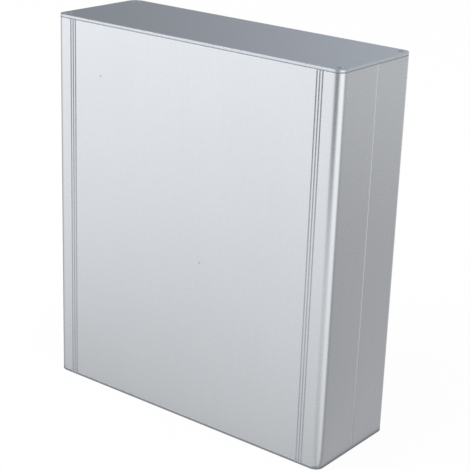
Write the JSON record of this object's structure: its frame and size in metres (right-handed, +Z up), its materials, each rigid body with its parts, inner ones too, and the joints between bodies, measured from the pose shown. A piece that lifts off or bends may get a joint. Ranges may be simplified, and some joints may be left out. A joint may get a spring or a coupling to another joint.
{
  "type": "extruded aluminium instrument case",
  "caption": "Upright case made of interlocking extruded aluminium half-shells, with flat end plates held by countersunk screws in the corners of the extrusions.",
  "frame": {"origin": "centre of the underside, on the surface that the case stands on", "axes": "+Z up along the extrusions, +X to the right across the broad faces, +Y from the front face to the rear face"},
  "size_m": [0.224, 0.076, 0.254],
  "materials": {
    "anodised_shell": "fine satin, clear anodised",
    "anodised_plate": "fine blasted, clear anodised",
    "screw_steel": "bright zinc plated"
  },
  "bodies": {
    "root": {"front_shell": "anodised_shell", "rear_shell": "anodised_shell", "top_end_plate": "anodised_plate", "bottom_end_plate": "anodised_plate", "screw_top_front_left": "screw_steel", "screw_top_front_right": "screw_steel", "screw_top_rear_left": "screw_steel", "screw_top_rear_right": "screw_steel", "screw_bottom_front_left": "screw_steel", "screw_bottom_front_right": "screw_steel", "screw_bottom_rear_left": "screw_steel", "screw_bottom_rear_right": "screw_steel"}
  },
  "joints": []
}
